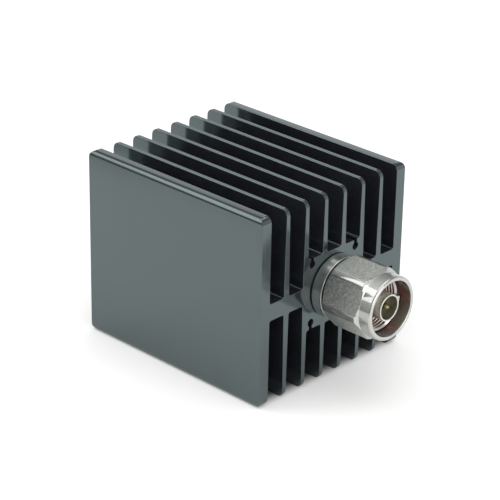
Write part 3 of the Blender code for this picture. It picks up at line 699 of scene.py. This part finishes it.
def make_jack():
    """Collar, neck and threaded barrel of the jack, with its insulator and slotted socket."""
    body = turned("jack_body_shell", [
        (JACK_FRONT, JACK_MOUTH + JACK_MOUTH_CHAMFER), (JACK_FRONT, BARREL_RADIUS),
        (BARREL_REAR, BARREL_RADIUS), (BARREL_REAR - BARREL_CHAMFER, JACK_NECK_RADIUS),
        (COLLAR_FRONT, JACK_NECK_RADIUS), (COLLAR_FRONT, COLLAR_RADIUS),
        (SEAT_GAP, COLLAR_RADIUS), (SEAT_GAP, SPIGOT_RADIUS),
        (SPIGOT_END, SPIGOT_RADIUS), (SPIGOT_END, JACK_BORE),
        (JACK_STEP, JACK_BORE), (JACK_STEP, LINE_RADIUS),
        (JACK_FLOOR, LINE_RADIUS), (JACK_FLOOR, JACK_MOUTH),
        (JACK_FRONT - JACK_MOUTH_CHAMFER, JACK_MOUTH),
        (JACK_FRONT, JACK_MOUTH + JACK_MOUTH_CHAMFER),
    ], JACK_END)
    round_edges(body, 0.16)
    settle(body, "attenuator_body", "plated_brass", plate, "female_body")
    turns = thread("jack_body_thread", JACK_THREAD_ROOT, THREAD_RADIUS, JACK_THREAD_START,
                   JACK_THREAD_TURNS, JACK_END)
    settle(turns, "attenuator_body", "plated_brass", plate)
    make_bush("jack_insulator_bush", JACK_FLOOR - SEAT_GAP, JACK_STEP - SEAT_GAP,
              JACK_BORE - SEAT_GAP, JACK_END, "female_insulator")
    socket = copy_of("female_centre_socket", "jack_socket_shell")
    round_edges(socket, 0.05)
    settle(socket, "attenuator_body", "gold_contact", gold, "female_centre_socket")


def finish_inner_nodes():
    """The CAD nodes that stay: the snap ring, and what is inside the bore."""
    finishes = {
        "nut_retaining_ring": stainless, "attenuator_substrate": alumina, "input_tab": gold,
        "output_tab": gold, "carrier_base": milled, "carrier_cap": milled,
    }
    for number in (1, 2, 3, 4):
        finishes[f"carrier_screw_{number}"] = stainless
    for name, material in finishes.items():
        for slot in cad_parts[name].material_slots:
            slot.material = material


def table_paper():
    """Matt white paper. Seen straight, or in metal, it is lifted towards plain white, but not under the
    part, where painted shade makes it a darker grey and takes the lift away, and from below it isn't
    there."""
    glow_seen = 0.22
    glow_mirrored = 0.12
    shade_start = -1.0 * MM
    shade_full = 5.0 * MM
    material, tree = blank("white_table_paper")
    spot = add(tree, "SeparateXYZ", {"Vector": add(tree, "TexCoord").outputs["Object"]})
    insets = []
    for axis, low, high in (("X", sink_low.x, sink_high.x), ("Y", sink_low.y, sink_high.y)):
        off = add(tree, "Math", {0: spot.outputs[axis], 1: (low + high) / 2}, operation="SUBTRACT")
        away = add(tree, "Math", {0: off.outputs["Value"]}, operation="ABSOLUTE")
        inset = add(tree, "Math", {0: (high - low) / 2, 1: away.outputs["Value"]}, operation="SUBTRACT")
        insets.append(inset.outputs["Value"])
    within = add(tree, "Math", {0: insets[0], 1: insets[1]}, operation="MINIMUM")
    # Painted shade mask: 1 in the open, falling to 0 a few millimetres inside the part's footprint
    outside_painted_shade = add(tree, "MapRange", {
        "Value": within.outputs["Value"], "From Min": shade_start, "From Max": shade_full,
        "To Min": 1.0, "To Max": 0.0,
    }, interpolation_type="SMOOTHSTEP").outputs["Result"]
    # Painted shade: the paper's colour turns dark grey under the part
    tint = add(tree, "MixRGB", {
        "Fac": outside_painted_shade, "Color1": linear("#6a6a6a"), "Color2": linear("#f4f4f3"),
    })
    path = add(tree, "LightPath")
    clear = add(tree, "Math", {
        0: path.outputs["Is Camera Ray"], 1: path.outputs["Is Transmission Ray"],
    }, operation="MAXIMUM")
    straight = add(tree, "Math", {0: clear.outputs["Value"], 1: glow_seen}, operation="MULTIPLY")
    mirrored = add(tree, "Math", {
        0: path.outputs["Is Glossy Ray"], 1: glow_mirrored,
    }, operation="MULTIPLY")
    lift = add(tree, "Math", {0: straight.outputs["Value"], 1: mirrored.outputs["Value"]})
    # The painted shade also takes the glow away under the part
    glow = add(tree, "Math", {0: lift.outputs["Value"], 1: outside_painted_shade}, operation="MULTIPLY")
    paper = add(tree, "BsdfPrincipled", {
        "Base Color": tint.outputs["Color"], "Roughness": 0.9, "Emission Color": linear("#ffffff"),
        "Emission Strength": glow.outputs["Value"],
    })
    below = add(tree, "BsdfTransparent")
    side = add(tree, "NewGeometry")
    sheet = add(tree, "MixShader", {
        0: side.outputs["Backfacing"], 1: paper.outputs["BSDF"], 2: below.outputs["BSDF"],
    })
    add(tree, "OutputMaterial", {"Surface": sheet.outputs["Shader"]})
    return material


def make_floor():
    """A table top that ends a hand's breadth in front of the near plate, which therefore mirrors
    more of the room and less of the paper."""
    edge_place = (-0.05, -0.137, 0)
    edge_inwards = (0.13, 0.99, 0)
    bpy.ops.object.select_all(action="DESELECT")
    bpy.ops.mesh.primitive_grid_add(x_subdivisions=2, y_subdivisions=2, size=6, location=(0, 0, 0))
    floor = bpy.context.object
    floor.name = "table_top"
    edit(floor)
    bpy.ops.mesh.bisect(plane_co=edge_place, plane_no=edge_inwards, clear_inner=True)
    bpy.ops.object.mode_set(mode="OBJECT")
    floor.data.materials.append(table_paper())


def make_room():
    """White room: plain for diffuse light, and in metal with the grey bands of its far walls."""
    # Grey of the walls by the sine of the height above the horizon
    front = [(-1.0, 0.2), (-0.1, 0.2), (0.0, 0.32), (0.12, 0.45), (0.3, 0.55), (0.75, 0.6), (0.95, 0.8)]
    back = [(-0.02, 0.9), (0.0, 1.0), (0.43, 1.0), (0.47, 0.28), (0.72, 0.32), (0.95, 0.8)]
    to_back = (-0.5, 0.86, 0.0)
    ambient = 0.68
    world = bpy.data.worlds.new("white_room")
    bpy.context.scene.world = world
    world.use_nodes = True
    tree = world.node_tree
    tree.nodes.clear()
    way = add(tree, "TexCoord").outputs["Generated"]
    height = add(tree, "SeparateXYZ", {"Vector": way})
    level = add(tree, "MapRange", {
        "Value": height.outputs["Z"], "From Min": -1.0, "From Max": 1.0, "To Min": 0.0, "To Max": 1.0,
    })
    sides = []
    for bands in (front, back):
        strip = add(tree, "ValToRGB", {"Fac": level.outputs["Result"]})
        ramp = strip.color_ramp
        ramp.elements.remove(ramp.elements[1])
        for sine, grey in bands:
            element = ramp.elements.new((sine + 1) / 2)
            element.color = (grey, grey, grey, 1.0)
        ramp.elements.remove(ramp.elements[0])
        sides.append(strip.outputs["Color"])
    behind = add(tree, "VectorMath", {0: way, 1: to_back}, operation="DOT_PRODUCT")
    turn = add(tree, "MapRange", {
        "Value": behind.outputs["Value"], "From Min": 0.15, "From Max": 0.4,
        "To Min": 0.0, "To Max": 1.0,
    })
    walls = add(tree, "MixRGB", {
        "Fac": turn.outputs["Result"], "Color1": sides[0], "Color2": sides[1],
    })
    path = add(tree, "LightPath")
    white = add(tree, "MixRGB", {
        "Fac": path.outputs["Is Camera Ray"], "Color1": walls.outputs["Color"],
        "Color2": linear("#ffffff"),
    })
    seen = add(tree, "Math", {
        0: path.outputs["Is Camera Ray"], 1: path.outputs["Is Glossy Ray"],
    }, operation="MAXIMUM")
    shown = add(tree, "Math", {
        0: seen.outputs["Value"], 1: path.outputs["Is Transmission Ray"],
    }, operation="MAXIMUM")
    lit = add(tree, "Background", {"Color": linear("#ffffff"), "Strength": ambient})
    background = add(tree, "Background", {"Color": white.outputs["Color"], "Strength": 1.0})
    room = add(tree, "MixShader", {
        0: shown.outputs["Value"], 1: lit.outputs["Background"], 2: background.outputs["Background"],
    })
    add(tree, "OutputWorld", {"Surface": room.outputs["Shader"]})


def softbox(name, azimuth, elevation, distance, width, height, watts):
    """A soft oblong lamp aimed at the object's middle, in metres and degrees. Azimuth goes from +X
    towards +Y."""
    lamp = bpy.data.lights.new(name, "AREA")
    lamp.shape = "RECTANGLE"
    lamp.size = width
    lamp.size_y = height
    lamp.energy = watts
    holder = bpy.data.objects.new(name, lamp)
    bpy.context.scene.collection.objects.link(holder)
    level, up = math.radians(azimuth), math.radians(elevation)
    away = Vector((math.cos(level) * math.cos(up), math.sin(level) * math.cos(up), math.sin(up)))
    holder.location = AXIS + away * distance
    holder.rotation_euler = away.to_track_quat("Z", "Y").to_euler()


def make_lamps():
    """Two windows to the left, one above the other, a low lamp before the plug and a wide one
    overhead."""
    softbox("window_upper", azimuth=-143, elevation=45.8, distance=0.5, width=0.277, height=0.178,
            watts=0.294)
    softbox("window_lower", azimuth=-131, elevation=28.0, distance=0.5, width=0.213, height=0.125,
            watts=0.159)
    softbox("front", azimuth=-3, elevation=12, distance=0.45, width=0.34, height=0.19, watts=0.73)
    softbox("overhead", azimuth=90, elevation=88, distance=1.4, width=1.3, height=1.3, watts=6.3)


def make_camera():
    """The photograph's view, solved from the outline of the heatsink and the plug."""
    azimuth, elevation, roll = math.radians(43.395), math.radians(25.049), math.radians(1.103)
    distance, aside, lift = 608.24 * MM, 1.49 * MM, -0.893 * MM
    target = (sink_low + sink_high) / 2
    back = Vector((
        math.sin(azimuth) * math.cos(elevation), -math.cos(azimuth) * math.cos(elevation),
        math.sin(elevation),
    ))
    level = (-back).cross(Vector((0, 0, 1))).normalized()
    upright = level.cross(-back)
    right = level * math.cos(roll) + upright * math.sin(roll)
    up = upright * math.cos(roll) - level * math.sin(roll)
    place = target + back * distance + right * aside + up * lift
    lens = bpy.data.cameras.new("photograph")
    lens.sensor_width = 36.0
    lens.lens = 147.82
    lens.clip_start = 0.05
    lens.clip_end = 20.0
    camera = bpy.data.objects.new("photograph", lens)
    bpy.context.scene.collection.objects.link(camera)
    camera.matrix_world = Matrix((right, up, back)).transposed().to_4x4()
    camera.location = place
    bpy.context.scene.camera = camera


make_camera()
make_heatsink()
make_coupling_nut()
make_plug_body()
make_plug_sleeve()
make_bush("plug_insulator_bush", PLUG_BUSH_FRONT, SLEEVE_SEAT, PLUG_BORE - SEAT_GAP, PLUG_END,
          "male_insulator")
make_plug_pin()
make_jack()
finish_inner_nodes()
make_floor()
make_room()
make_lamps()
bpy.context.scene.view_settings.view_transform = "Standard"
